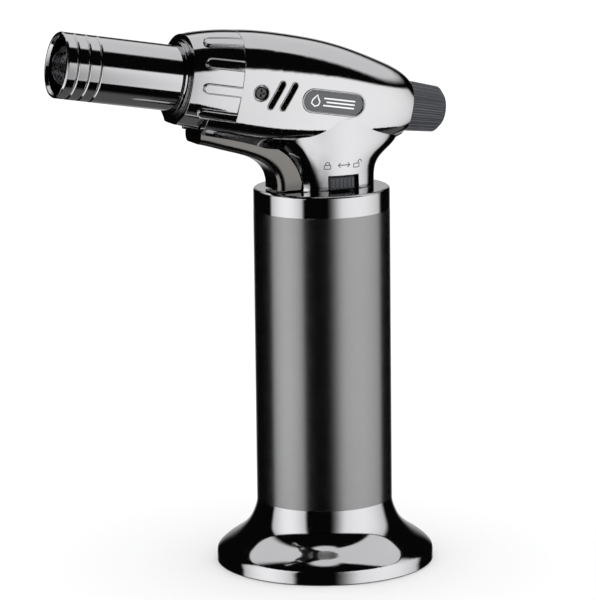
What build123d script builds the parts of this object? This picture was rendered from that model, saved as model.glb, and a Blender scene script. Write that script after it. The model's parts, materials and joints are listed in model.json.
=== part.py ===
from build123d import *

import os
from math import copysign, cos, hypot, pi, radians, sin

os.makedirs("parts", exist_ok=True)

# Butane hand torch, in millimetres. The origin is the centre of the base's resting plane, +Z is up,
# the nozzle points to -X (tilted upwards), the flow knob to +X, and the lock slider faces -Y.

# ---- Driving dimensions ------------------------------------------------------------------------
BASE_R = 34.0  # foot of the flared base
RIM_H = 2.6  # upright rim of the base
BASE_H = 20.25  # where the base meets the sleeve
SLEEVE_R = 21.2
SLEEVE_TOP = 111.9
RING_TOP = 118.7  # top face of the chrome ring, where the neck stands
HEAD_TILT = 9.76  # degrees that the nozzle points above the horizontal
AXIS_Z = 146.89  # height of the barrel's axis over the base's centre
WALL = 2.0  # moulded head shells
BARREL_R = 10.0
BARREL_BORE = 8.6
MOUTH_T = 87.1  # the barrel's mouth, along the head axis from the column's centreline
COLLAR_REAR = 32.2
COLLAR_FRONT = 48.2
CRADLE_T = 41.0  # front end of the cradle that the shells make under the collar
CRADLE_H = -10.1  # level, across the head axis, where the collar stops and the cradle starts
TAIL_T = -27.9  # rear face of the head

TRIGGER_HALF = 6.4  # half the trigger's width
TRIGGER_PIN = (-39.5, 139.0)  # X and Z of the hinge pin
LEVER_PIN = (4.5, 121.4)

FIT = 0.05  # radial running clearance of pins and shafts

# ---- Frames ------------------------------------------------------------------------------------
TILT = radians(HEAD_TILT)
# Along the head axis: local X is up across the axis, local Y is world Y, local Z runs to the nozzle.
HEAD = Plane(origin=(0, 0, AXIS_Z), x_dir=(sin(TILT), 0, cos(TILT)), z_dir=(-cos(TILT), 0, sin(TILT)))
# Side view of the head: local X runs to the nozzle, local Y is up across the axis, the normal is +Y.
SIDE = Plane(origin=(0, 0, AXIS_Z), x_dir=(-cos(TILT), 0, sin(TILT)), z_dir=(0, 1, 0))
# Half section through the head axis on the far side: local X is the radius, local Y runs to the nozzle.
HEAD_HALF = Plane(origin=(0, 0, AXIS_Z), x_dir=(0, 1, 0), z_dir=HEAD.x_dir)
# The column is revolved in the plane that faces away from the lock slider.
COLUMN = Plane(origin=(0, 0, 0), x_dir=(0, 1, 0), z_dir=(1, 0, 0))


def head_point(t, h=0.0, y=0.0):
    """World position of a point t along the head axis, h above it and y to the side."""
    return HEAD.from_local_coords(Vector(h, y, t))


def head_slab(rear, front, low=-60.0, high=60.0):
    """Everything of the head between two stations, and between two levels across the axis."""
    block = Box(high - low, 120, front - rear)
    return HEAD * Pos((low + high) / 2, 0, (rear + front) / 2) * block


def head_rod(radius, rear, front, h=0.0, y=0.0):
    """Round bar along the head axis."""
    return HEAD * Pos(h, y, (rear + front) / 2) * Cylinder(radius, front - rear)


def head_tube(outer, inner, rear, front, h=0.0, y=0.0):
    """Round tube along the head axis."""
    return head_rod(outer, rear, front, h, y) - head_rod(inner, rear - 1, front + 1, h, y)


def cross_pin(radius, x, z, half_length):
    """Round pin across the torch, along Y."""
    return Pos(x, 0, z) * Rot(90, 0, 0) * Cylinder(radius, 2 * half_length)


def upright(radius, low, high, x=0.0, y=0.0):
    """Round bar along Z."""
    return Pos(x, y, (low + high) / 2) * Cylinder(radius, high - low)


def across(face, half_width):
    """Prism of a side profile, half_width to each side of the centre plane."""
    return Pos(0, -half_width, 0) * extrude(face, 2 * half_width, dir=(0, 1, 0))


def block(x, y, z):
    """Box between three pairs of limits."""
    centre = [(pair[0] + pair[1]) / 2 for pair in (x, y, z)]
    size = [pair[1] - pair[0] for pair in (x, y, z)]
    return Pos(*centre) * Box(*size)


def turned(*outline):
    """Solid of revolution about Z from (radius, z) points joined by straight lines."""
    return revolve(make_face(COLUMN * Polyline(*outline, close=True)), Axis.Z)


def head_turned(*outline):
    """Solid of revolution about the head axis from (radius, t) points joined by straight lines."""
    return revolve(make_face(HEAD_HALF * Polyline(*outline, close=True)), Axis(HEAD.origin, HEAD.z_dir))


def ring_seal(major, minor, z):
    """O-ring about the column's centreline."""
    return Pos(0, 0, z) * Torus(major, minor)


def save(name, shape):
    """Writes one node, as one solid or as a group of separate solids."""
    shape.label = name
    export_step(shape, f"parts/{name}.step")


# ---- Head body: two lofted volumes that merge ---------------------------------------------------
# Exponents of the rounded sections: 2 is an ellipse, more is squarer.
HEAD_FULLNESS = 2.25
NECK_FULLNESS = 2.0
OVAL_STEPS = 8


def oval(near, far, widest, half_width, fullness):
    """Rounded section, symmetric in Y, from near to far along X and widest at one place between."""
    points = []
    for step in range(OVAL_STEPS + 1):
        angle = pi * step / OVAL_STEPS
        along = copysign(abs(cos(angle)) ** (2 / fullness), cos(angle))
        sideways = half_width * abs(sin(angle)) ** (2 / fullness)
        reach = far - widest if along > 0 else widest - near
        points.append((round(widest + reach * along, 6), round(sideways, 6)))
    one_side = Spline(*points, tangents=[(0, 1), (0, -1)])
    return make_face(one_side + mirror(one_side, Plane.XZ))


# Stations along the head axis: t, half width, top, widest level, bottom.
HEAD_STATIONS = [
    (TAIL_T, 8.5, 8.4, 0.0, -8.8),
    (-23.0, 10.3, 11.3, 0.5, -11.4),
    (-16.8, 11.7, 13.2, 1.0, -13.8),
    (-5.4, 13.1, 15.8, 1.6, -16.8),
    (5.7, 13.9, 17.2, 2.2, -19.0),
    (19.2, 14.2, 17.6, 2.6, -20.2),
    (32.4, 14.0, 16.7, 2.4, -19.6),
    (CRADLE_T, 13.6, 15.6, 2.0, -18.6),
]
# Levels up the neck: z, half width, front X, rear X.
NECK_LEVELS = [
    (RING_TOP, 10.8, -12.9, 17.1),
    (121.8, 10.8, -13.1, 17.1),
    (125.0, 10.9, -14.4, 17.7),
    (127.5, 11.2, -16.2, 19.3),
    (130.0, 11.5, -18.8, 22.2),
    (132.0, 11.75, -21.0, 24.3),
    (134.0, 12.0, -23.0, 25.2),
    (137.0, 12.3, -24.0, 24.6),
    (141.0, 12.4, -19.0, 20.0),
]
# Stations of the collar, in the same terms as the head's.
COLLAR_STATIONS = [
    (29.0, 14.0, 17.0, 2.0, -16.2),
    (34.0, 14.0, 16.6, 1.8, -15.5),
    (41.0, 13.9, 15.5, 1.0, -14.4),
    (COLLAR_FRONT, 13.6, 13.6, 0.0, -13.6),
]


def along_head(stations, inset):
    """Loft through stations of the head, drawn in by inset all round."""
    sections = []
    for t, half_width, top, widest, bottom in stations:
        section = oval(bottom + inset, top - inset, widest, half_width - inset, HEAD_FULLNESS)
        sections.append(HEAD.offset(t) * section)
    return loft(sections)


def up_neck(inset):
    """Loft through the levels of the neck, drawn in by inset all round."""
    sections = []
    for z, half_width, front, rear in NECK_LEVELS:
        middle = (front + rear) / 2
        section = oval(front + inset, rear - inset, middle, half_width - inset, NECK_FULLNESS)
        sections.append(Plane.XY.offset(z) * section)
    return loft(sections)


def body(inset=0.0):
    """Head and neck as one volume, drawn in by inset."""
    return along_head(HEAD_STATIONS, inset) + up_neck(inset)


outer = body()
inner = body(WALL)

# ---- Trigger: side profile, and the opening that it moves in ------------------------------------
# Lower edge of the shells, which the trigger follows, from the cradle down the neck: X, Z.
SEAM = [(-50.0, 140.4), (-41.1, 138.2), (-32.0, 136.1), (-22.2, 133.1), (-18.4, 131.3), (-15.7, 128.6)]
SEAM += [(-14.6, 125.2), (-14.4, 117.0)]
# Face that the finger pulls, from the front end down to the ring.
TRIGGER_FACE = [(-42.6, 135.2), (-39.2, 134.3), (-35.3, 133.1), (-31.1, 131.9), (-27.0, 130.6)]
TRIGGER_FACE += [(-23.5, 129.2), (-20.6, 127.5), (-18.4, 125.2), (-17.2, 122.4), (-17.0, 119.2)]
# Hidden edge inside the shells, back from the ring to the hinge.
TRIGGER_ROOF = [(-9.8, 119.2), (-9.8, 124.2), (-12.5, 128.5), (-17.4, 132.4), (-22.0, 135.0)]
TRIGGER_ROOF += [(-30.0, 137.6), (-36.0, 140.6), (-39.5, 141.3), (-42.2, 140.7)]
TRIGGER_WALL = 1.2
TRIGGER_FLOOR = 2.0

below_seam = make_face(
    Plane.XZ * (Spline(*SEAM) + Polyline(SEAM[-1], (-60, 117), (-60, 140.4), SEAM[0]))
)
finger_side = across(below_seam, 30)
# The slot reaches further back beside the neck, where the trigger's cheeks run inside the shells.
slot_outline = Polyline(
    (-60, 110),
    (-60, 141.9),
    (-33, 141.9),
    (-20, 139),
    (-9, 137),
    (-9, 131),
    (-6, 131),
    (-6, 110),
    close=True,
)
trigger_slot = across(make_face(Plane.XZ * slot_outline), TRIGGER_HALF + 0.4)

# ---- Collar volumes ----------------------------------------------------------------------------
COLLAR_WALL = 1.6
COLLAR_FACE = 1.8
COLLAR_HOLE = 12.1
collar_outer = along_head(COLLAR_STATIONS, 0.0)
collar_inner = along_head(COLLAR_STATIONS, COLLAR_WALL)
spigot_outer = along_head(COLLAR_STATIONS, COLLAR_WALL + 0.1)
spigot_inner = along_head(COLLAR_STATIONS, COLLAR_WALL + 1.6)

# ---- Head shells -------------------------------------------------------------------------------
SCREW_T = 25.8
SCREW_H = -0.4
SCREW_SEAT = 12.3  # how far from the centre plane the screw heads sit
VENT_T = (20.7, 16.6)
BADGE_T = 1.3
BADGE_H = -0.8
BADGE_LENGTH = 20.6
BADGE_HEIGHT = 6.4
BADGE_DEPTH = 1.0
RIB = 1.2  # thickness of the cross ribs inside the shells
REAR_RIB_T = TAIL_T + 8.1
FRONT_RIB_T = 12.0
VALVE_R = 4.6
PIPE_R = 1.5
WINDOW = ((-2.2, 8.2), (117.0, 123.3))
PIN_HALF = 7.6  # the trigger's hinge pin ends in blind holes in the shells

shell = outer - (inner & head_slab(TAIL_T + WALL, CRADLE_T - 1.5))
shell -= finger_side
shell -= head_slab(COLLAR_REAR - 0.1, 60, CRADLE_H, 40)
spigot = (spigot_outer - spigot_inner) & head_slab(29.4, 45.6)
spigot -= head_slab(20, CRADLE_T + 0.4, -40, CRADLE_H + 0.5)
shell += spigot

# Cross ribs carry the flow valve at the back and the gas pipe in front.
rear_rib = inner & head_slab(REAR_RIB_T - RIB, REAR_RIB_T, -40, 40)
rear_rib -= head_rod(VALVE_R + 0.03, -40, 0)
front_rib = inner & head_slab(FRONT_RIB_T, FRONT_RIB_T + RIB, -1.4, 40)
front_rib -= head_rod(PIPE_R + 0.03, 0, 30)
shell += rear_rib
shell += front_rib
shell -= head_rod(3.7, TAIL_T - 1, TAIL_T + WALL + 1)
shell -= trigger_slot

# Screw bosses and counterbores, one on each side.
for side in (-1, 1):
    seat = SIDE * Pos(SCREW_T, SCREW_H, side * (SCREW_SEAT - 0.2)) * Cylinder(3.4, 2.8)
    shell += seat & outer
for side in (-1, 1):
    counterbore = SIDE * Pos(SCREW_T, SCREW_H, side * (SCREW_SEAT + 2)) * Cylinder(2.3, 4)
    shell -= counterbore
shell -= SIDE * Pos(SCREW_T, SCREW_H, 0) * Cylinder(1.4, 40)

# Two slanted vents behind each screw.
for vent_t in VENT_T:
    vent = SIDE * Pos(vent_t, -0.5) * SlotOverall(9.3, 1.6, rotation=111.3)
    shell -= across(vent, 30)

# Pill-shaped recess for the badge, with a flat pad behind it inside.
pill = SIDE * Pos(BADGE_T, BADGE_H) * SlotOverall(BADGE_LENGTH, BADGE_HEIGHT)
badge_floor = along_head(HEAD_STATIONS, BADGE_DEPTH)
shell -= across(pill, 30) - badge_floor

# Window of the lock slider, and the pocket behind it.
window = block(WINDOW[0], (-20, -5), WINDOW[1])
pocket = block((-3.8, 9.9), (-8.4, -6.0), (117, 125.3))
shell -= window
shell -= pocket
shell -= cross_pin(1.0, TRIGGER_PIN[0], TRIGGER_PIN[1], PIN_HALF)

left_shell = shell & block((-100, 100), (-60, 0), (0, 300))
right_shell = shell & block((-100, 100), (0, 60), (0, 300))
save("left_shell", left_shell)
save("right_shell", right_shell)

badge_body = along_head(HEAD_STATIONS, 0.25)
badge_pill = SIDE * Pos(BADGE_T, BADGE_H) * SlotOverall(BADGE_LENGTH - 0.3, BADGE_HEIGHT - 0.3)
badge = across(badge_pill, 30) & (badge_body - badge_floor)
save("left_badge", badge & block((-100, 100), (-60, 0), (0, 300)))
save("right_badge", badge & block((-100, 100), (0, 60), (0, 300)))

# ---- Screws ------------------------------------------------------------------------------------


def pan_screw(head_r, head_h, shank_r, length):
    """Cross-recessed pan-head screw along -Z, with its seat at Z = 0."""
    head = fillet(Cylinder(head_r, head_h).edges().sort_by(Axis.Z)[-1], 0.45)
    screw = Pos(0, 0, head_h / 2) * head + Pos(0, 0, -length / 2) * Cylinder(shank_r, length)
    for turn in (0, 90):
        screw -= Pos(0, 0, head_h) * Rot(0, 0, turn) * Box(head_r * 1.25, 0.55, 1.3)
    return screw


shell_screws = []
for side in (-1, 1):
    seat_plane = Plane(
        origin=SIDE.from_local_coords(Vector(SCREW_T, SCREW_H, side * SCREW_SEAT)),
        x_dir=SIDE.x_dir,
        z_dir=(0, side, 0),
    )
    shell_screws.append(seat_plane * pan_screw(1.95, 1.2, 1.2, 6.0))
save("shell_screws", Compound(children=shell_screws))

# ---- Collar over the nose of the shells ----------------------------------------------------------
RIBS_PER_SIDE = 4
RIB_FIRST = 39.5  # degrees from the top to the first rib on each side
RIB_STEP = 30.8
RIB_WIDTH = 3.0
RIB_FRONT = 44.6
RIB_RISE = 0.7
RIB_CENTRE_H = 2.0  # level that the ribs point out from
RIB_SINK = 0.4  # how far a rib reaches into the collar's wall

collar = collar_outer & head_slab(COLLAR_REAR, COLLAR_FRONT)
collar -= collar_inner & head_slab(0, COLLAR_FRONT - COLLAR_FACE)
rib_length = RIB_FRONT - COLLAR_REAR + RIB_WIDTH
rib_skin = along_head(COLLAR_STATIONS, -RIB_RISE) & head_slab(COLLAR_REAR, COLLAR_FRONT)
rib_skin -= along_head(COLLAR_STATIONS, RIB_SINK)
rib_outline = SlotOverall(rib_length, RIB_WIDTH, rotation=90)
# Turned so that the outline's length runs along the head, and it is pushed outwards.
rib_face = Plane(origin=(0, 0, 0), x_dir=(0, 1, 0), z_dir=(1, 0, 0)) * rib_outline
for side in (-1, 1):
    for count in range(RIBS_PER_SIDE):
        turn = Rot(0, 0, side * (RIB_FIRST + RIB_STEP * count))
        place = HEAD * Pos(RIB_CENTRE_H, 0, RIB_FRONT - rib_length / 2) * turn
        collar += extrude(place * rib_face, 24) & rib_skin
collar -= head_rod(COLLAR_HOLE, COLLAR_FRONT - 4, COLLAR_FRONT + 1)
collar -= head_slab(0, CRADLE_T + 0.3, -60, CRADLE_H + 0.15)
save("collar", collar)

# ---- Trigger -----------------------------------------------------------------------------------
EAR_R = 2.2
FACE_FILLET = 2.5
PLUNGER_TIP = (-13.0, 122.5)  # where the trigger meets the igniter's plunger
reach_x = PLUNGER_TIP[0] - TRIGGER_PIN[0]
reach_z = PLUNGER_TIP[1] - TRIGGER_PIN[1]
reach = hypot(reach_x, reach_z)
# Along the plunger: local Z points the way that the trigger pushes it, local X up and to the front.
PUSH = Plane(
    origin=(PLUNGER_TIP[0], 0, PLUNGER_TIP[1]),
    x_dir=(reach_x / reach, 0, reach_z / reach),
    z_dir=(-reach_z / reach, 0, reach_x / reach),
)


def side_face(front, back):
    """Side profile between the finger's face and the hidden edge, given as two lists of points."""
    outline = Spline(*front) + Line(front[-1], back[0]) + Spline(*back) + Line(back[-1], front[0])
    return make_face(Plane.XZ * outline)


trigger_profile = side_face(TRIGGER_FACE, TRIGGER_ROOF)
trigger = across(trigger_profile, TRIGGER_HALF)
face_edges = [
    edge for edge in trigger.edges() if edge.length > 25 and edge.center().Z < 131
]
trigger = fillet(face_edges, FACE_FILLET)
# Hollow from above: a channel with a thick floor behind the finger and thin cheeks.
hollow_floor = Spline(*TRIGGER_FACE[1:-1])
hollow_profile = make_face(
    Plane.XZ
    * Pos(0.9, TRIGGER_FLOOR)
    * (
        hollow_floor
        + Polyline(
            TRIGGER_FACE[-2],
            (TRIGGER_FACE[-2][0], 100),
            (0, 100),
            (0, 160),
            (TRIGGER_FACE[1][0], 160),
            TRIGGER_FACE[1],
        )
    )
)
trigger -= across(hollow_profile, TRIGGER_HALF - TRIGGER_WALL)
# Pad that pushes the plunger, two tabs that lift the valve lever, and the hinge ears.
pad = PUSH * Pos(0, 0, -0.35 - 2.5) * Box(5.0, 4.4, 5.0)
pad_limit = Polyline((-17, 119.2), (-17.2, 122.4), (-9, 126), (-9, 119.2), close=True)
trigger += pad & across(make_face(Plane.XZ * pad_limit), 4)
for side in (-1, 1):
    trigger += block((-16.2, -11.5), sorted((side * 3.7, side * 5.6)), (119.2, 120.1))
trigger -= cross_pin(1.0 + FIT, TRIGGER_PIN[0], TRIGGER_PIN[1], 20)
save("trigger", trigger)

save("trigger_pin", cross_pin(1.0, TRIGGER_PIN[0], TRIGGER_PIN[1], PIN_HALF))

# ---- Igniter -----------------------------------------------------------------------------------
PIEZO_START = 4.6
PIEZO_LENGTH = 18.0
PIEZO_SIDE = 6.8
PLUNGER_R = 2.0
piezo_box = Box(PIEZO_SIDE, PIEZO_SIDE, PIEZO_LENGTH)
piezo_body = PUSH * Pos(0, 0, PIEZO_START + PIEZO_LENGTH / 2) * piezo_box
piezo_body = fillet(piezo_body.edges(), 0.5)
piezo_body -= PUSH * Pos(0, 0, PIEZO_START + 5) * Cylinder(PLUNGER_R + 0.1, 10.2)
save("piezo_body", piezo_body)
plunger = PUSH * Pos(0, 0, 3.1) * Cylinder(PLUNGER_R, 6.2)
save("piezo_plunger", fillet(plunger.edges(), 0.6))

LEAD_R = 0.9
INSULATOR_H = -7.3
INSULATOR_R = 1.05
INSULATOR_REAR = 34.0
INSULATOR_FRONT = 74.0
lead_start = (-3.2, PIEZO_SIDE / 2, 138.4)
lead_end = head_point(INSULATOR_REAR, INSULATOR_H)
lead_route = [
    lead_start,
    (-3.2, 7.0, 138.4),
    (-14.0, 7.0, 141.2),
    tuple(head_point(24.5, INSULATOR_H)),
    tuple(lead_end),
]
lead_path = FilletPolyline(*lead_route, radius=[1.7, 5.0, 8.0])
lead_section = Plane(origin=lead_start, z_dir=(0, 1, 0)) * Circle(LEAD_R)
save("ignition_lead", sweep(lead_section, path=lead_path))
save("insulator", head_tube(INSULATOR_R, 0.5, INSULATOR_REAR, INSULATOR_FRONT, INSULATOR_H))

WIRE_R = 0.45
wire_route = [
    tuple(head_point(INSULATOR_REAR + 2, INSULATOR_H)),
    tuple(head_point(80.8, INSULATOR_H)),
    tuple(head_point(82.2, INSULATOR_H + 2.6)),
]
wire_path = FilletPolyline(*wire_route, radius=1.0)
wire_section = Plane(origin=wire_route[0], z_dir=HEAD.z_dir) * Circle(WIRE_R)
save("electrode", sweep(wire_section, path=wire_path))

# ---- Gas path in the head ------------------------------------------------------------------------
VALVE_REAR = TAIL_T + 4.1
VALVE_FRONT = -9.0
SPINDLE_R = 1.4
SPINDLE_REAR = TAIL_T - 10.1
SEAL_T = -22.0
INLET_T = -17.0
INLET_R = 1.15
BLOCK_R = 5.5
BLOCK_REAR = 21.5
BLOCK_FRONT = 33.0
JET_FRONT = 37.0

flow_valve = head_rod(VALVE_R, VALVE_REAR, VALVE_FRONT)
flow_valve += head_rod(3.4, TAIL_T - 0.2, VALVE_REAR)
inlet = HEAD * Pos(-5.65, 0, INLET_T) * Rot(0, 90, 0) * Cylinder(INLET_R, 3.3)
flow_valve += inlet
flow_valve -= head_rod(SPINDLE_R + FIT, TAIL_T - 1, -13.5)
flow_valve -= head_rod(0.6, -14, VALVE_FRONT - 0.5)
save("flow_valve_body", flow_valve)

spindle = head_rod(SPINDLE_R, SPINDLE_REAR, -15.0)
spindle -= head_tube(2.0, 0.95, SEAL_T - 0.6, SEAL_T + 0.6)
save("flow_spindle", spindle)
seal = HEAD * Pos(0, 0, SEAL_T) * Torus(1.2, 0.22)
save("spindle_seal", seal)

save("gas_pipe", head_tube(PIPE_R, 0.9, VALVE_FRONT, BLOCK_REAR))

burner_block = head_rod(BLOCK_R, BLOCK_REAR, BLOCK_FRONT)
burner_block += SIDE * Pos(SCREW_T, SCREW_H, 0) * Cylinder(3.0, 21.4)
burner_block -= head_rod(0.9, BLOCK_REAR - 1, BLOCK_FRONT + 1)
for side in (-1, 1):
    burner_block -= SIDE * Pos(SCREW_T, SCREW_H, side * 9) * Cylinder(1.21, 8)
save("burner_block", burner_block)
save("jet", head_tube(2.4, 0.35, BLOCK_FRONT, JET_FRONT))

CUP_FRONT = 80.0
CUP_R = 6.0
burner_outline = [
    (4.6, JET_FRONT - 2),
    (4.6, 66.0),
    (CUP_R, 70.0),
    (CUP_R, CUP_FRONT),
    (CUP_R - 0.6, CUP_FRONT),
    (CUP_R - 0.6, 70.4),
    (3.7, 66.0),
    (3.7, JET_FRONT - 2),
]
burner_tube = head_turned(*burner_outline)
air_hole = Pos(4, 0, 0) * Rot(0, 90, 0) * Cylinder(1.2, 4)
for count in range(4):
    burner_tube -= HEAD * Pos(0, 0, 40) * Rot(0, 0, 90 * count + 45) * air_hole
save("burner_tube", burner_tube)

flame_holder = head_rod(CUP_R - 0.62, 77.0, 78.6)
for ring_r, holes in ((0.0, 1), (2.0, 6), (4.0, 12)):
    for count in range(holes):
        flame_holder -= HEAD * Rot(0, 0, 360 * count / holes) * Pos(ring_r, 0, 77.8) * Cylinder(0.55, 3)
save("flame_holder", flame_holder)

burner_disc = head_tube(BARREL_BORE - 0.05, 4.62, 43.0, 45.0)
burner_disc -= head_rod(INSULATOR_R + 0.02, 42, 46, INSULATOR_H)
for count in range(5):
    burner_disc -= HEAD * Rot(0, 0, 60 * (count - 2)) * Pos(6.6, 0, 44) * Cylinder(1.1, 4)
save("burner_disc", burner_disc)

# ---- Barrel ------------------------------------------------------------------------------------
BARREL_REAR = 40.0
GROOVES = (83.6, 79.9, 76.2)
GROOVE_DEPTH = 0.5
GROOVE_HALF = 0.45
barrel_outline = [(BARREL_BORE, BARREL_REAR), (BARREL_R, BARREL_REAR)]
for groove in reversed(GROOVES):
    barrel_outline.append((BARREL_R, groove - GROOVE_HALF))
    barrel_outline.append((BARREL_R - GROOVE_DEPTH, groove))
    barrel_outline.append((BARREL_R, groove + GROOVE_HALF))
barrel_outline += [
    (BARREL_R, MOUTH_T - 0.5),
    (BARREL_R - 0.3, MOUTH_T),
    (BARREL_BORE + 0.5, MOUTH_T),
    (BARREL_BORE, MOUTH_T - 0.9),
]
save("barrel", head_turned(*barrel_outline))

barrel_ring = head_tube(COLLAR_HOLE - 0.1, BARREL_R + 0.02, 45.9, 48.6)
barrel_ring += head_tube(11.2, BARREL_R + 0.02, 48.6, 49.7)
save("barrel_ring", barrel_ring)

# ---- Flow knob ---------------------------------------------------------------------------------
KNOB_FRONT = TAIL_T - 0.4
KNOB_REAR = TAIL_T - 12.8
FLUTES = 30
KNOB_END_R = 7.0
KNOB_FRONT_R = 7.9
FLUTE_R = 0.55
FLUTE_OUT = 0.1  # how far outside the knob the flutes are centred
FLUTE_LEAN = 4.3  # degrees, the taper of the knob
knob_outline = [
    (SPINDLE_R + 0.01, KNOB_FRONT),
    (KNOB_FRONT_R, KNOB_FRONT),
    (KNOB_END_R + 0.15, KNOB_REAR + 1.6),
    (KNOB_END_R - 1.5, KNOB_REAR),
    (0, KNOB_REAR),
    (0, SPINDLE_REAR - 0.02),
    (SPINDLE_R + 0.01, SPINDLE_REAR - 0.02),
]
knob = head_turned(*knob_outline)
knob -= head_tube(6.4, 3.9, KNOB_FRONT - 5.0, KNOB_FRONT)
flute = Rot(0, FLUTE_LEAN, 0) * Pos(0, 0, -6) * Cylinder(FLUTE_R, 14)
flute = Pos(KNOB_FRONT_R + FLUTE_OUT, 0, KNOB_FRONT) * flute
for count in range(FLUTES):
    knob -= HEAD * Rot(0, 0, 360 * count / FLUTES) * flute
save("flow_knob", knob)

# ---- Valve lever, chassis and gas hose -----------------------------------------------------------
LEVER_Z = (120.6, 122.2)
STEM_R = 1.1
STEM_FLANGE_R = 1.8
lever = block((-12.0, LEVER_PIN[0]), (-4.8, 4.8), LEVER_Z)
lever -= block((-13.0, -2.4), (-3.8, 3.8), (110, 130))
lever -= block((2.2, 9.0), (-3.8, 3.8), (110, 130))
lever -= block((-3.0, 0.2), (-1.5, 1.5), (110, 130))
lever -= upright(1.5, 110, 130, x=0.2)
for side in (-1, 1):
    hub = Pos(LEVER_PIN[0], side * 4.3, LEVER_PIN[1]) * Rot(90, 0, 0) * Cylinder(1.8, 1.0)
    lever += hub
lever -= cross_pin(0.9 + FIT, *LEVER_PIN, 10)
save("valve_lever", lever)
save("lever_pin", cross_pin(0.9, *LEVER_PIN, 6.4))

CHEEK = (5.6, 6.6)
CHASSIS_TOP = 127.0
NECK_SCREW = (10.5, 3.4)
chassis = block((8.0, 9.6), (-CHEEK[1], CHEEK[1]), (RING_TOP, CHASSIS_TOP))
chassis += block((8.0, 12.3), (-5.1, 5.1), (RING_TOP, CHASSIS_TOP))
for side in (-1, 1):
    chassis += block((-5.0, 9.6), sorted((side * CHEEK[0], side * CHEEK[1])), (RING_TOP, CHASSIS_TOP))
chassis -= cross_pin(0.9 + 0.005, *LEVER_PIN, 6.4)
for side in (-1, 1):
    chassis -= upright(1.01, RING_TOP - 1, RING_TOP + 6, x=NECK_SCREW[0], y=side * NECK_SCREW[1])
save("chassis", chassis)
neck_screws = [
    Pos(NECK_SCREW[0], side * NECK_SCREW[1], 116.2) * Rot(180, 0, 0) * pan_screw(1.9, 1.1, 1.0, 8.0)
    for side in (-1, 1)
]
save("neck_screws", Compound(children=neck_screws))

stem = upright(STEM_R, 113.0, 126.8) + upright(STEM_FLANGE_R, 122.5, 123.3)
stem -= upright(0.5, 114.0, 127.0)
save("outlet_stem", stem)

HOSE_R = 2.0
hose_foot = (0, 0, 125.1)
hose_end = head_point(INLET_T, -6.0)
hose_turn = head_point(INLET_T, -10.2)
hose_path = FilletPolyline(
    hose_foot, (0, 0, 134.0), tuple(hose_turn), tuple(hose_end), radius=[4.4, 3.4]
)
hose_plane = Plane(origin=hose_foot, z_dir=(0, 0, 1))
hose = sweep(hose_plane * Circle(HOSE_R), path=hose_path)
hose -= sweep(hose_plane * Circle(INLET_R + FIT), path=hose_path)
save("gas_hose", hose)

# ---- Lock slider -------------------------------------------------------------------------------
slider = block((-2.0, 5.8), (-12.2, -7.6), (119.3, 122.9))
slider = fillet(slider.edges().group_by(Axis.Y)[0], 0.5)
slider += block((-3.4, 7.2), (-8.0, -7.1), (119.3, 124.8))
for count in range(5):
    slider -= Pos(-0.7 + 1.3 * count, -12.35, 121) * Cylinder(0.38, 6)
save("lock_slider", slider)

# ---- Column: ring, sleeve, tank -------------------------------------------------------------------
SLEEVE_WALL = 1.2
TANK_R = 19.6
TANK_BORE = 18.0
TANK_BOTTOM = 23.5
TANK_TOP = 107.5
spigot_r = SLEEVE_R - SLEEVE_WALL - 0.05
ring = turned(
    (7.2, 116.2),
    (7.2, RING_TOP),
    (SLEEVE_R, RING_TOP),
    (SLEEVE_R, SLEEVE_TOP),
    (spigot_r, SLEEVE_TOP),
    (spigot_r, TANK_TOP + 1.0),
    (spigot_r - 1.6, TANK_TOP + 1.0),
    (spigot_r - 1.6, 116.2),
)
ring_rim = ring.edges().filter_by(GeomType.CIRCLE).group_by(Axis.Z)[-1].sort_by(SortBy.RADIUS)[-1]
ring = fillet(ring_rim, 0.9)
for side in (-1, 1):
    ring -= upright(1.15, 110, 130, x=NECK_SCREW[0], y=side * NECK_SCREW[1])
save("tank_ring", ring)

sleeve = turned(
    (SLEEVE_R - SLEEVE_WALL, BASE_H),
    (SLEEVE_R, BASE_H),
    (SLEEVE_R, SLEEVE_TOP),
    (SLEEVE_R - SLEEVE_WALL, SLEEVE_TOP),
)
save("tank_sleeve", sleeve)

TANK_FLOOR = 3.0
REFILL_HOLE = 3.6
BASE_SCREW_PCD = 26.0
tank = turned(
    (REFILL_HOLE, TANK_BOTTOM),
    (TANK_R, TANK_BOTTOM),
    (TANK_R, TANK_TOP),
    (TANK_BORE, TANK_TOP),
    (TANK_BORE, TANK_BOTTOM + TANK_FLOOR),
    (REFILL_HOLE, TANK_BOTTOM + TANK_FLOOR),
)
base_screw_places = [Rot(0, 0, 120 * count + 30) * Pos(BASE_SCREW_PCD / 2, 0, 0) for count in range(3)]
for place in base_screw_places:
    tank += place * upright(3.2, TANK_BOTTOM + 1, TANK_BOTTOM + 7)
    tank -= place * upright(1.21, TANK_BOTTOM - 1, TANK_BOTTOM + 5.5)
save("fuel_tank", tank)

OUTLET_R = 5.0
CAP_BOTTOM = 101.5
cap = turned(
    (OUTLET_R, CAP_BOTTOM),
    (TANK_BORE - 0.1, CAP_BOTTOM),
    (TANK_BORE - 0.1, 103.4),
    (TANK_BORE - 1.1, 103.4),
    (TANK_BORE - 1.1, 104.6),
    (TANK_BORE - 0.1, 104.6),
    (TANK_BORE - 0.1, TANK_TOP),
    (TANK_R, TANK_TOP),
    (TANK_R, TANK_TOP + 1.0),
    (9.0, TANK_TOP + 1.0),
    (9.0, 112.0),
    (OUTLET_R, 112.0),
)
save("tank_cap", cap)
save("tank_cap_seal", ring_seal(TANK_BORE - 0.58, 0.5, 104.0))

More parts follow.
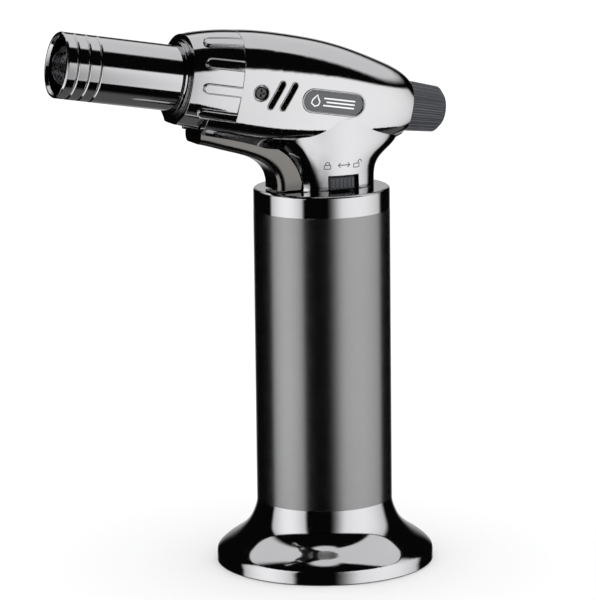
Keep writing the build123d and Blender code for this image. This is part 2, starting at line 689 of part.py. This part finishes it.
outlet = turned(
    (STEM_R + FIT, 112.5),
    (STEM_R + FIT, 119.4),
    (3.4, 119.4),
    (3.4, 117.5),
    (6.2, 117.5),
    (6.2, 112.0),
    (OUTLET_R - 0.02, 112.0),
    (OUTLET_R - 0.02, 99.0),
    (1.6, 99.0),
    (1.6, 112.5),
)
save("outlet_valve_body", outlet)
wick = upright(1.55, TANK_BOTTOM + 15, 111.5)
save("wick", wick)

# ---- Refill valve ------------------------------------------------------------------------------
PORT_R = 2.2
PORT_MOUTH = 13.0
PORT_DEPTH = 3.0
refill = turned(
    (PORT_R, PORT_MOUTH),
    (5.2, PORT_MOUTH),
    (5.2, 17.4),
    (REFILL_HOLE - 0.03, 17.4),
    (REFILL_HOLE - 0.03, 32.0),
    (1.0 + FIT, 32.0),
    (1.0 + FIT, PORT_MOUTH + PORT_DEPTH),
    (PORT_R, PORT_MOUTH + PORT_DEPTH),
)
save("refill_valve_body", refill)
refill_stem = upright(1.0, PORT_MOUTH + PORT_DEPTH + 0.3, 34.0) + upright(1.9, 33.9, 35.0)
save("refill_stem", refill_stem)
save("refill_seal", ring_seal(REFILL_HOLE + 0.75, 0.68, TANK_BOTTOM - 0.7))

# ---- Base --------------------------------------------------------------------------------------
FOOT_WIDTH = 2.6
BASE_FLOOR = 17.4
flare_points = [(SLEEVE_R, BASE_H), (22.1, 16.0), (23.7, 12.8), (27.0, 9.5), (31.5, 6.4), (33.5, 4.5)]
flare_points += [(BASE_R, RIM_H)]
flare = Spline(*flare_points, tangents=[(0, -1), (0.05, -1)])
inside_flare = Spline((18.8, BASE_FLOOR), (20.6, 13.2), (24.8, 8.6), (BASE_R - FOOT_WIDTH, 4.0))
base_outline = (
    Polyline((5.6, BASE_FLOOR), (5.6, BASE_H), (18.4, BASE_H), (18.4, TANK_BOTTOM), (spigot_r, TANK_BOTTOM))
    + Polyline((spigot_r, TANK_BOTTOM), (spigot_r, BASE_H), (SLEEVE_R, BASE_H))
    + flare
    + Polyline((BASE_R, RIM_H), (BASE_R, 0.3), (BASE_R - 0.3, 0), (BASE_R - FOOT_WIDTH, 0))
    + Line((BASE_R - FOOT_WIDTH, 0), (BASE_R - FOOT_WIDTH, 4.0))
    + inside_flare
    + Line((18.8, BASE_FLOOR), (5.6, BASE_FLOOR))
)
base = revolve(make_face(COLUMN * base_outline), Axis.Z)
for place in base_screw_places:
    base -= place * upright(1.4, 10, 30)
save("base", base)
base_screws = [
    place * Pos(0, 0, BASE_FLOOR) * Rot(180, 0, 0) * pan_screw(2.6, 1.5, 1.2, 10.0)
    for place in base_screw_places
]
save("base_screws", Compound(children=base_screws))

COVER_HOLE = 9.0
cover = turned(
    (COVER_HOLE, 1.2),
    (COVER_HOLE, 3.0),
    (BASE_R - FOOT_WIDTH - 0.1, 3.0),
    (BASE_R - FOOT_WIDTH - 0.1, 1.2),
)
save("base_cover", cover)
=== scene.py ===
import json
from math import cos, pi, radians, sin

import bmesh
import bpy
from mathutils import Matrix, Vector
from mathutils.bvhtree import BVHTree


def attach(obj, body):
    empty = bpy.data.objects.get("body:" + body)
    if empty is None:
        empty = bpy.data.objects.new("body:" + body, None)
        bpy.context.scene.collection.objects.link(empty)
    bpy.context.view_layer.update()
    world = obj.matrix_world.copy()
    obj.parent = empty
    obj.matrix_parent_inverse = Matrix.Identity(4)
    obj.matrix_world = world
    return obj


# Looks of the butane torch: finishes, small mesh details, a pale floor and a soft studio around the
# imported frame. Everything is in metres.

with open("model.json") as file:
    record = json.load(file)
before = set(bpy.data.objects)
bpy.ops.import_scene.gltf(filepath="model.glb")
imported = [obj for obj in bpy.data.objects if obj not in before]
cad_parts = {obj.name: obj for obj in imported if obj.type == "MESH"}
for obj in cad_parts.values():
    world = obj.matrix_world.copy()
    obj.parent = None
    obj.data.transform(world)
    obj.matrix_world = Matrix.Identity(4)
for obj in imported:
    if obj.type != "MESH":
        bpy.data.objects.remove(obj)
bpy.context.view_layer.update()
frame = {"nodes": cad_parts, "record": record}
nodes = frame["nodes"]
MM = 0.001

# ---- View ----------------------------------------------------------------------------------------
VIEW_AZIMUTH = radians(-23.81)
VIEW_ELEVATION = radians(11.159)
VIEW_DISTANCE = 1.07203
VIEW_TARGET = Vector((0, 0, 0.082732))
VIEW_LENS = 206.46
VIEW_ROLL = radians(-0.5757)
VIEW_SHIFT = -0.041


# ---- Node helpers --------------------------------------------------------------------------------
# The Mix node's sockets share names between data types, so they are taken by number: two inputs, output.
MIX_COLOURS = (6, 7, 2)
MIX_FLOATS = (2, 3, 0)


class Graph:
    """Short calls for building one node tree."""

    def __init__(self, tree):
        self.tree = tree

    def add(self, kind, **settings):
        node = self.tree.nodes.new(kind)
        for key, value in settings.items():
            setattr(node, key, value)
        return node

    def link(self, source, target):
        self.tree.links.new(source, target)

    def feed(self, socket, value):
        if isinstance(value, bpy.types.NodeSocket):
            self.link(value, socket)
        else:
            socket.default_value = value

    def maths(self, operation, *values):
        node = self.add("ShaderNodeMath", operation=operation)
        for socket, value in zip(node.inputs, values):
            self.feed(socket, value)
        return node.outputs[0]

    def vector(self, operation, *values):
        node = self.add("ShaderNodeVectorMath", operation=operation)
        for socket, value in zip(node.inputs, values):
            self.feed(socket, value)
        return node.outputs["Value" if operation == "DOT_PRODUCT" else "Vector"]

    def span(self, value, low, high, out_low=0.0, out_high=1.0):
        """Smooth step from out_low to out_high as the value goes from low to high."""
        node = self.add("ShaderNodeMapRange", interpolation_type="SMOOTHSTEP")
        names = ("Value", "From Min", "From Max", "To Min", "To Max")
        for name, part in zip(names, (value, low, high, out_low, out_high)):
            self.feed(node.inputs[name], part)
        return node.outputs["Result"]

    def noise(self, size, detail, rough=0.5):
        """Noise in object space with features of about size metres."""
        coords = self.add("ShaderNodeTexCoord").outputs["Object"]
        scaled = self.vector("MULTIPLY", coords, (1 / size, 1 / size, 1 / size))
        node = self.add("ShaderNodeTexNoise")
        self.link(scaled, node.inputs["Vector"])
        node.inputs["Scale"].default_value = 1.0
        node.inputs["Detail"].default_value = detail
        node.inputs["Roughness"].default_value = rough
        return node.outputs["Fac"]

    def bump(self, height, strength, distance, normal=None):
        node = self.add("ShaderNodeBump")
        node.inputs["Strength"].default_value = strength
        node.inputs["Distance"].default_value = distance
        self.link(height, node.inputs["Height"])
        if normal is not None:
            self.link(normal, node.inputs["Normal"])
        return node.outputs["Normal"]

    def blend(self, factor, first, second):
        node = self.add("ShaderNodeMix", data_type="RGBA")
        self.feed(node.inputs["Factor"], factor)
        one, two, result = MIX_COLOURS
        self.feed(node.inputs[one], (*first, 1))
        self.feed(node.inputs[two], (*second, 1))
        return node.outputs[result]


def new_material(name, **fixed):
    """Material with a Principled shader, whose fixed sockets are set by name."""
    material = bpy.data.materials.new(name)
    material.use_nodes = True
    graph = Graph(material.node_tree)
    shader = next(node for node in graph.tree.nodes if node.type == "BSDF_PRINCIPLED")
    for key, value in fixed.items():
        shader.inputs[key.replace("_", " ")].default_value = value
    return material, graph, shader


# ---- Materials -----------------------------------------------------------------------------------
def black_chrome():
    """Smoked chrome plating over polished castings."""
    material, graph, shader = new_material("black_chrome", Metallic=1.0)
    cloud = graph.noise(26 * MM, detail=3)
    haze = graph.noise(1.6 * MM, detail=4, rough=0.6)
    colour = graph.blend(cloud, (0.40, 0.40, 0.412), (0.45, 0.447, 0.452))
    graph.link(colour, shader.inputs["Base Color"])
    graph.link(graph.span(haze, 0.3, 0.75, 0.045, 0.085), shader.inputs["Roughness"])
    rounded = graph.add("ShaderNodeBevel", samples=4)
    rounded.inputs["Radius"].default_value = 0.25 * MM
    ripple = graph.noise(9 * MM, detail=1)
    graph.link(graph.bump(ripple, 0.08, 0.12 * MM, rounded.outputs[0]), shader.inputs["Normal"])
    return material


def satin_chrome_painted_shade():
    """Rougher smoked plating of the trigger, whose base colour is a darker copy of the chrome: painted
    shade of the downward-facing trigger.
    """
    material, graph, shader = new_material("satin_chrome_painted_shade", Metallic=1.0)
    cloud = graph.noise(12 * MM, detail=3)
    haze = graph.noise(0.8 * MM, detail=4, rough=0.6)
    # Base colour far below black_chrome's: painted shade of the trigger's underside, not a different
    # plating.
    colour = graph.blend(cloud, (0.115, 0.110, 0.105), (0.150, 0.144, 0.138))
    graph.link(colour, shader.inputs["Base Color"])
    graph.link(graph.span(haze, 0.3, 0.75, 0.16, 0.22), shader.inputs["Roughness"])
    return material


def gunmetal():
    """Smooth dark plating of the long sleeve."""
    material, graph, shader = new_material("gunmetal", Metallic=1.0)
    cloud = graph.noise(30 * MM, detail=3)
    haze = graph.noise(4 * MM, detail=3, rough=0.6)
    colour = graph.blend(cloud, (0.192, 0.192, 0.195), (0.212, 0.212, 0.215))
    graph.link(colour, shader.inputs["Base Color"])
    graph.link(graph.span(haze, 0.3, 0.75, 0.21, 0.24), shader.inputs["Roughness"])
    return material


def moulded_plastic(name, dark, light, rough):
    """Matt moulded plastic with a fine spark-eroded texture."""
    material, graph, shader = new_material(name)
    cloud = graph.noise(7 * MM, detail=3)
    grain = graph.noise(0.25 * MM, detail=3, rough=0.65)
    graph.link(graph.blend(cloud, dark, light), shader.inputs["Base Color"])
    graph.link(graph.span(grain, 0.3, 0.7, rough - 0.06, rough + 0.06), shader.inputs["Roughness"])
    graph.link(graph.bump(grain, 0.25, 0.03 * MM), shader.inputs["Normal"])
    return material


def machined_metal(name, dark, light, rough):
    """Bare metal with fine tool marks."""
    material, graph, shader = new_material(name, Metallic=1.0)
    cloud = graph.noise(5 * MM, detail=4)
    marks = graph.noise(0.25 * MM, detail=3, rough=0.7)
    graph.link(graph.blend(cloud, dark, light), shader.inputs["Base Color"])
    graph.link(graph.span(marks, 0.3, 0.7, rough - 0.07, rough + 0.08), shader.inputs["Roughness"])
    graph.link(graph.bump(marks, 0.15, 0.02 * MM), shader.inputs["Normal"])
    return material


finishes = {
    "black_chrome": black_chrome(),
    "black_gloss": gunmetal(),
    "knob_plastic": moulded_plastic("knob_plastic", (0.040, 0.043, 0.050), (0.054, 0.057, 0.065), 0.4),
    "badge_grey": moulded_plastic("badge_plate", (0.07, 0.072, 0.078), (0.09, 0.092, 0.1), 0.3),
    "steel": machined_metal("steel", (0.42, 0.42, 0.43), (0.56, 0.56, 0.57), 0.26),
    "brass": machined_metal("brass", (0.62, 0.43, 0.18), (0.74, 0.55, 0.26), 0.28),
    "zinc_casting": machined_metal("zinc_casting", (0.36, 0.36, 0.37), (0.48, 0.48, 0.49), 0.5),
    "rubber": moulded_plastic("rubber", (0.018, 0.018, 0.018), (0.030, 0.030, 0.031), 0.7),
    "black_plastic": moulded_plastic("black_plastic", (0.018, 0.018, 0.020), (0.028, 0.028, 0.031), 0.45),
    "tank_plastic": moulded_plastic("tank_plastic", (0.62, 0.62, 0.58), (0.72, 0.72, 0.68), 0.35),
    "lead_silicone": moulded_plastic("lead_silicone", (0.42, 0.035, 0.03), (0.5, 0.05, 0.04), 0.5),
    "white_ceramic": moulded_plastic("white_ceramic", (0.72, 0.70, 0.66), (0.8, 0.79, 0.76), 0.35),
    "wick_felt": moulded_plastic("wick_felt", (0.66, 0.63, 0.55), (0.78, 0.76, 0.69), 0.9),
}
screw_black = machined_metal("screw_black", (0.05, 0.05, 0.052), (0.08, 0.08, 0.083), 0.32)
trim_silver = machined_metal("trim_silver", (0.55, 0.55, 0.56), (0.68, 0.68, 0.69), 0.24)
for subpart in frame["record"]["subparts"]:
    mesh = nodes[subpart["node"]].data
    mesh.materials.clear()
    mesh.materials.append(finishes[subpart["material_slot"]])
nodes["shell_screws"].data.materials[0] = screw_black
# The trigger gets the darker chrome copy, painted shade of its downward-facing surface.
nodes["trigger"].data.materials[0] = satin_chrome_painted_shade()


# ---- Small pieces laid on the shells -------------------------------------------------------------
HEAD_TILT = radians(9.76)
AXIS_HEIGHT = 146.89
BADGE = (1.3, -0.8, 20.6, 6.4)  # along and above the head axis, length, height
SCREW = (25.8, -0.4, 4.6, 4.6)
VENTS = ((20.7, -0.5, 9.3, 1.6), (16.6, -0.5, 9.3, 1.6))
VENT_TURN = 111.3
PILL_STEPS = 12  # along each straight and round each end
LINE_STEPS = 12
RAY_START = 0.06  # metres from the middle plane, outside the head
WIRE_SIDES = 10
BAND_ROOT = 0.04  # how deep a flat strip is set into the surface


def on_head(t, h):
    """X and Z, in metres, of a point t along the head axis and h above it, in millimetres."""
    x = -t * cos(HEAD_TILT) + h * sin(HEAD_TILT)
    z = AXIS_HEIGHT + t * sin(HEAD_TILT) + h * cos(HEAD_TILT)
    return Vector((x * MM, z * MM))


def pill(t, h, length, height, turn=0.0, grow=0.0):
    """Line round a pill on the head's side view, grown all round."""
    radius = height / 2 + grow
    half = (length - height) / 2
    points = []
    for end in (1, -1):
        for step in range(PILL_STEPS + 1):
            angle = radians(-90 + 180 * step / PILL_STEPS)
            points.append((end * (half + radius * cos(angle)), end * radius * sin(angle)))
        for step in range(1, PILL_STEPS):
            points.append((end * half * (1 - 2 * step / PILL_STEPS), end * radius))
    spin = radians(turn)
    return [
        on_head(t + a * cos(spin) - b * sin(spin), h + a * sin(spin) + b * cos(spin)) for a, b in points
    ]


def search_tree(*names):
    """Search tree over the surfaces of CAD nodes."""
    merged = bmesh.new()
    for name in names:
        merged.from_mesh(nodes[name].data)
    tree = BVHTree.FromBMesh(merged)
    merged.free()
    return tree


def from_side(line, side):
    """Rays across the torch, from one side, through the points of a line in side view."""
    return [(Vector((x, side * RAY_START, z)), Vector((0, -side, 0))) for x, z in line]


def trim(name, rays, section, tree, finish, closed=True):
    """Thin strip along the places where rays meet a surface: its section is across and outwards."""
    places = []
    for start, heading in rays:
        hit, normal, _, _ = tree.ray_cast(start, heading)
        places.append((hit, normal))
    count = len(places)
    shape = bmesh.new()
    rings = []
    for index, (hit, normal) in enumerate(places):
        before = places[index - 1][0] if closed or index > 0 else hit
        after = places[(index + 1) % count][0] if closed or index < count - 1 else hit
        across = (after - before).cross(normal).normalized()
        rings.append([shape.verts.new(hit + across * a * MM + normal * b * MM) for a, b in section])
    for index in range(count if closed else count - 1):
        one, two = rings[index], rings[(index + 1) % count]
        for corner in range(len(section)):
            other = (corner + 1) % len(section)
            shape.faces.new((one[corner], one[other], two[other], two[corner]))
    if not closed:
        shape.faces.new(rings[0])
        shape.faces.new(reversed(rings[-1]))
    bmesh.ops.recalc_face_normals(shape, faces=shape.faces)
    mesh = bpy.data.meshes.new(name)
    shape.to_mesh(mesh)
    shape.free()
    for face in mesh.polygons:
        face.use_smooth = len(section) == WIRE_SIDES
    mesh.materials.append(finish)
    piece = bpy.data.objects.new(name, mesh)
    bpy.context.scene.collection.objects.link(piece)
    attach(piece, "torch")


def wire(radius):
    """Round section of a trim strip."""
    turns = [2 * pi * step / WIRE_SIDES for step in range(WIRE_SIDES)]
    return [(radius * cos(turn), radius * sin(turn)) for turn in turns]


def band(width, rise):
    """Flat section of a trim strip."""
    return [(width / 2, rise), (-width / 2, rise), (-width / 2, -BAND_ROOT), (width / 2, -BAND_ROOT)]


BADGE_RIM_OUT, BADGE_RIM_WIRE = 0.35, 0.3  # distance outside the outline, radius
HOLE_RIM_OUT, HOLE_RIM_WIRE = 0.2, 0.2
FLAME = [
    (0, -1.7), (-1.2, -1.2), (-1.5, -0.1), (-0.8, 0.9),
    (-0.3, 2.0), (0.5, 1.1), (1.2, 0.3), (1.4, -0.8),
]
FLAME_AHEAD = 6.3  # of the badge's centre
FLAME_SCALE = 0.95
FLAME_BAND = (0.42, 0.1)
BADGE_LINES = ((1.1, 3.6), (0.0, 2.6), (-1.1, 3.6))  # height and front end of each
LINES_BEHIND = 7.2  # the badge's centre
LINE_BAND = (0.45, 0.1)
RIB_TURNS = (39.5, 70.3, 101.2, 132.0)
RIB_CENTRE_H = 2.0
RIB_REAR = 32.6
RIB_ROUND = 43.1
RIB_HALF = 1.5
RIB_END_STEPS = 8
RIB_RAY = 30  # rays start this far out from the collar's axis
RIB_NARROWING = 0.93
RIB_WIRE = 0.24
SIGN_HEIGHT = 126.6
SHUT_X, SLIDE_X, OPEN_X = -2.6, 2.8, 7.2
SIGN_BAND = (0.3, 0.04)


def dress_side(side, prefix):
    """Rims, badge motif and the collar's rib edges on one side of the head."""
    shells = search_tree("left_shell", "right_shell")
    badges = search_tree("left_badge", "right_badge")
    chrome = finishes["black_chrome"]
    rims = {"badge": pill(*BADGE, grow=BADGE_RIM_OUT), "screw": pill(*SCREW, grow=HOLE_RIM_OUT)}
    for number, vent in enumerate(VENTS):
        rims[f"vent_{number}"] = pill(*vent, turn=VENT_TURN, grow=HOLE_RIM_OUT)
    for what, line in rims.items():
        section = wire(BADGE_RIM_WIRE if what == "badge" else HOLE_RIM_WIRE)
        trim(f"{prefix}_{what}_rim", from_side(line, side), section, shells, chrome)
    t, h = BADGE[:2]
    flame = [on_head(t + FLAME_AHEAD + a * FLAME_SCALE, h + b * FLAME_SCALE) for a, b in FLAME]
    rays = from_side(flame, side)
    trim(f"{prefix}_badge_flame", rays, band(*FLAME_BAND), badges, trim_silver)
    for number, (level, front) in enumerate(BADGE_LINES):
        length = front + LINES_BEHIND
        along = [t - LINES_BEHIND + length * step / LINE_STEPS for step in range(LINE_STEPS + 1)]
        rays = from_side([on_head(place, h + level) for place in along], side)
        trim(f"{prefix}_badge_line_{number}", rays, band(*LINE_BAND), badges, trim_silver, False)
    dress_collar(side, prefix)


def dress_collar(side, prefix):
    """Rounded edge round each rib of the collar."""
    collar = search_tree("collar")
    forwards = Vector((-cos(HEAD_TILT), 0, sin(HEAD_TILT)))
    upwards = Vector((sin(HEAD_TILT), 0, cos(HEAD_TILT)))
    sideways = Vector((0, side, 0))
    straight = RIB_ROUND - RIB_REAR
    line = [(RIB_REAR + straight * step / LINE_STEPS, RIB_HALF) for step in range(LINE_STEPS)]
    for step in range(RIB_END_STEPS + 1):
        turn = pi * step / RIB_END_STEPS
        line.append((RIB_ROUND + RIB_HALF * sin(turn), RIB_HALF * cos(turn)))
    line += [(t, -across) for t, across in reversed(line[:LINE_STEPS])]
    for number, turn in enumerate(RIB_TURNS):
        out = upwards * cos(radians(turn)) + sideways * sin(radians(turn))
        aside = sideways * cos(radians(turn)) - upwards * sin(radians(turn))
        centre = Vector((0, 0, AXIS_HEIGHT)) + upwards * RIB_CENTRE_H + out * RIB_RAY
        rays = [((centre + forwards * t + aside * across * RIB_NARROWING) * MM, -out) for t, across in line]
        chrome = finishes["black_chrome"]
        trim(f"{prefix}_rib_{number}", rays, wire(RIB_WIRE), collar, chrome, False)


def dress_lock():
    """Three plain signs over the lock slider: shut, slide and open."""
    shells = search_tree("left_shell", "right_shell")
    lock_body = [(-1, -1), (0, -1), (1, -1), (1, 0.2), (0, 0.2), (-1, 0.2)]
    lock_bow = [(-0.6, 0.2), (-0.55, 0.9), (0, 1.2), (0.55, 0.9), (0.6, 0.2)]
    open_bow = [(0.6, 0.2), (0.65, 1.0), (1.2, 1.4), (1.75, 1.0), (1.8, 0.5)]
    signs = {
        "sign_shut_body": (lock_body, SHUT_X, True),
        "sign_shut_bow": (lock_bow, SHUT_X, False),
        "sign_slide_bar": ([(-1.9, 0), (-1, 0), (0, 0), (1, 0), (1.9, 0)], SLIDE_X, False),
        "sign_slide_head_0": ([(-1.2, 0.7), (-2.0, 0), (-1.2, -0.7)], SLIDE_X, False),
        "sign_slide_head_1": ([(1.2, 0.7), (2.0, 0), (1.2, -0.7)], SLIDE_X, False),
        "sign_open_body": (lock_body, OPEN_X, True),
        "sign_open_bow": (open_bow, OPEN_X, False),
    }
    for name, (points, centre, closed) in signs.items():
        line = [Vector(((centre + a) * MM, (SIGN_HEIGHT + b) * MM)) for a, b in points]
        section = band(*SIGN_BAND)
        trim(name, from_side(line, -1), section, shells, finishes["badge_grey"], closed)


dress_side(-1, "near")
dress_side(1, "far")
dress_lock()

# ---- Studio --------------------------------------------------------------------------------------
# Upright panels of a light tent round the torch, by azimuth from the camera's side in degrees: centre,
# fade on the left and on the right of it, brightness.
PANELS = [
    (60.0, (-52.0, -24.0), (45.0, 56.0), 1.8),
    (-60.0, (-34.0, -28.0), (26.0, 33.0), 1.9),
    (180.0, (-30.0, -18.0), (18.0, 30.0), 0.6),
]
PANEL_DROOP = 0.36  # how much dimmer the panels are at their sides
TENT_R = 0.25
TENT_TOP = 0.216
TENT_BOTTOM = -0.07  # the polished surfaces see it through the floor
TENT_EDGE = 0.012
TENT_SIDES = 120
DARK_LEVEL = 0.004  # of the studio between its lights
# Overhead box behind the torch: azimuth, its fades as above, lowest, highest, softness, brightness.
OVERHEAD = (173.0, (-93.0, -83.0), (75.0, 93.0), 28.0, 96.0, 6.0, 1.2)
ZENITH = (79.0, 84.0)  # elevations between which the overhead light closes over the torch
UNDERGLOW = 0.15
UNDERGLOW_ELEVATION = radians(-50.0)
UNDERGLOW_FADE = (42.0, 58.0)  # degrees from its middle
PAPER_LEVEL = 1.15
FLOOR_HALF = 30.0
RIGHT = Vector((cos(VIEW_AZIMUTH), sin(VIEW_AZIMUTH), 0))
TOWARDS = Vector((sin(VIEW_AZIMUTH), -cos(VIEW_AZIMUTH), 0))


def azimuth_of(graph, direction):
    """Azimuth in degrees from the camera's side, positive to its right."""
    across = graph.vector("DOT_PRODUCT", direction, tuple(RIGHT))
    along = graph.vector("DOT_PRODUCT", direction, tuple(TOWARDS))
    return graph.maths("DEGREES", graph.maths("ARCTAN2", across, along))


def band_of(graph, azimuth, centre, left, right):
    """Offset from the centre of a light, and 1 between its two fades."""
    offset = graph.maths("WRAP", graph.maths("SUBTRACT", azimuth, centre), 180.0, -180.0)
    inside = graph.maths("MULTIPLY", graph.span(offset, *left), graph.span(offset, *right, 1.0, 0.0))
    return offset, inside


def make_world():
    """Overhead light by direction: the camera itself sees a plain pale surround."""
    world = bpy.data.worlds.new("studio")
    world.use_nodes = True
    bpy.context.scene.world = world
    graph = Graph(world.node_tree)
    background = next(node for node in graph.tree.nodes if node.type == "BACKGROUND")
    output = next(node for node in graph.tree.nodes if node.type == "OUTPUT_WORLD")
    direction = graph.add("ShaderNodeTexCoord").outputs["Generated"]
    height = graph.vector("DOT_PRODUCT", direction, (0, 0, 1))
    elevation = graph.maths("DEGREES", graph.maths("ARCSINE", height))
    centre, left, right, low, high, soft, power = OVERHEAD
    _, box = band_of(graph, azimuth_of(graph, direction), centre, left, right)
    box = graph.maths("MULTIPLY", box, graph.span(elevation, low - soft, low + soft))
    box = graph.maths("MULTIPLY", box, graph.span(elevation, high - soft, high + soft, 1.0, 0.0))
    box = graph.maths("MAXIMUM", box, graph.span(elevation, *ZENITH))
    total = graph.maths("MULTIPLY_ADD", box, power, DARK_LEVEL)
    under = TOWARDS * -cos(UNDERGLOW_ELEVATION) + Vector((0, 0, sin(UNDERGLOW_ELEVATION)))
    facing = graph.vector("DOT_PRODUCT", direction, tuple(under))
    spread = graph.maths("DEGREES", graph.maths("ARCCOSINE", facing))
    total = graph.maths("ADD", total, graph.span(spread, *UNDERGLOW_FADE, UNDERGLOW, 0.0))
    light = graph.add("ShaderNodeLightPath")
    for ray in ("Is Diffuse Ray", "Is Camera Ray"):
        mix = graph.add("ShaderNodeMix", data_type="FLOAT")
        graph.link(light.outputs[ray], mix.inputs["Factor"])
        one, two, result = MIX_FLOATS
        graph.link(total, mix.inputs[one])
        mix.inputs[two].default_value = PAPER_LEVEL
        total = mix.outputs[result]
    graph.link(total, background.inputs["Color"])
    graph.link(background.outputs[0], output.inputs["Surface"])
    world.cycles.sampling_method = "NONE"


def make_tent():
    """Glowing panels close round the torch, which only its polished surfaces see."""
    turns = [2 * pi * step / TENT_SIDES for step in range(TENT_SIDES)]
    corners = [(TENT_R * cos(turn), TENT_R * sin(turn)) for turn in turns]
    vertices = [(x, y, z) for z in (TENT_BOTTOM, TENT_TOP + TENT_EDGE) for x, y in corners]
    faces = []
    for step in range(TENT_SIDES):
        following = (step + 1) % TENT_SIDES
        faces.append((step, following, TENT_SIDES + following, TENT_SIDES + step))
    mesh = bpy.data.meshes.new("tent")
    mesh.from_pydata(vertices, [], faces)
    tent = bpy.data.objects.new("tent", mesh)
    bpy.context.scene.collection.objects.link(tent)
    material = bpy.data.materials.new("tent_light")
    material.use_nodes = True
    graph = Graph(material.node_tree)
    graph.tree.nodes.clear()
    place = graph.add("ShaderNodeTexCoord").outputs["Object"]
    azimuth = azimuth_of(graph, place)
    total = DARK_LEVEL
    for centre, left, right, power in PANELS:
        offset, box = band_of(graph, azimuth, centre, left, right)
        share = graph.maths("DIVIDE", offset, right[0])
        droop = graph.maths("MULTIPLY", graph.maths("MULTIPLY", share, share), -PANEL_DROOP)
        bright = graph.maths("MULTIPLY", box, graph.maths("MULTIPLY_ADD", droop, power, power))
        total = graph.maths("ADD", total, bright)
    height = graph.vector("DOT_PRODUCT", place, (0, 0, 1))
    top_fade = graph.span(height, TENT_TOP - TENT_EDGE, TENT_TOP + TENT_EDGE, 1.0, 0.0)
    total = graph.maths("MULTIPLY", total, top_fade)
    glow = graph.add("ShaderNodeEmission")
    graph.link(total, glow.inputs["Strength"])
    output = graph.add("ShaderNodeOutputMaterial")
    graph.link(glow.outputs[0], output.inputs["Surface"])
    material.cycles.emission_sampling = "NONE"
    mesh.materials.append(material)
    tent.visible_camera = False
    tent.visible_diffuse = False
    tent.visible_shadow = False


def make_floor():
    """Wide pale floor."""
    mesh = bpy.data.meshes.new("floor")
    corners = [(x * FLOOR_HALF, y * FLOOR_HALF, 0) for x, y in ((-1, -1), (1, -1), (1, 1), (-1, 1))]
    mesh.from_pydata(corners, [], [(0, 1, 2, 3)])
    floor = bpy.data.objects.new("floor", mesh)
    bpy.context.scene.collection.objects.link(floor)
    material, graph, shader = new_material("floor_paper", Roughness=0.9)
    grain = graph.noise(0.4, detail=2)
    graph.link(graph.blend(grain, (0.93, 0.93, 0.935), (0.95, 0.95, 0.95)), shader.inputs["Base Color"])
    shader.inputs["Specular IOR Level"].default_value = 0.0
    mesh.materials.append(material)
    floor.visible_glossy = False


def make_camera():
    """Camera at the view given at the top."""
    camera = bpy.data.objects.new("camera", bpy.data.cameras.new("camera"))
    bpy.context.scene.collection.objects.link(camera)
    back = Vector(
        (
            sin(VIEW_AZIMUTH) * cos(VIEW_ELEVATION),
            -cos(VIEW_AZIMUTH) * cos(VIEW_ELEVATION),
            sin(VIEW_ELEVATION),
        )
    )
    level = (-back).to_track_quat("-Z", "Y").to_matrix().to_4x4()
    camera.matrix_world = (
        Matrix.Translation(VIEW_TARGET + back * VIEW_DISTANCE) @ level @ Matrix.Rotation(VIEW_ROLL, 4, "Z")
    )
    camera.data.lens = VIEW_LENS
    camera.data.shift_x = VIEW_SHIFT
    camera.data.clip_start = 0.05
    camera.data.clip_end = 100.0
    bpy.context.scene.camera = camera


make_world()
make_tent()
make_floor()
make_camera()
bpy.context.scene.view_settings.view_transform = "Standard"
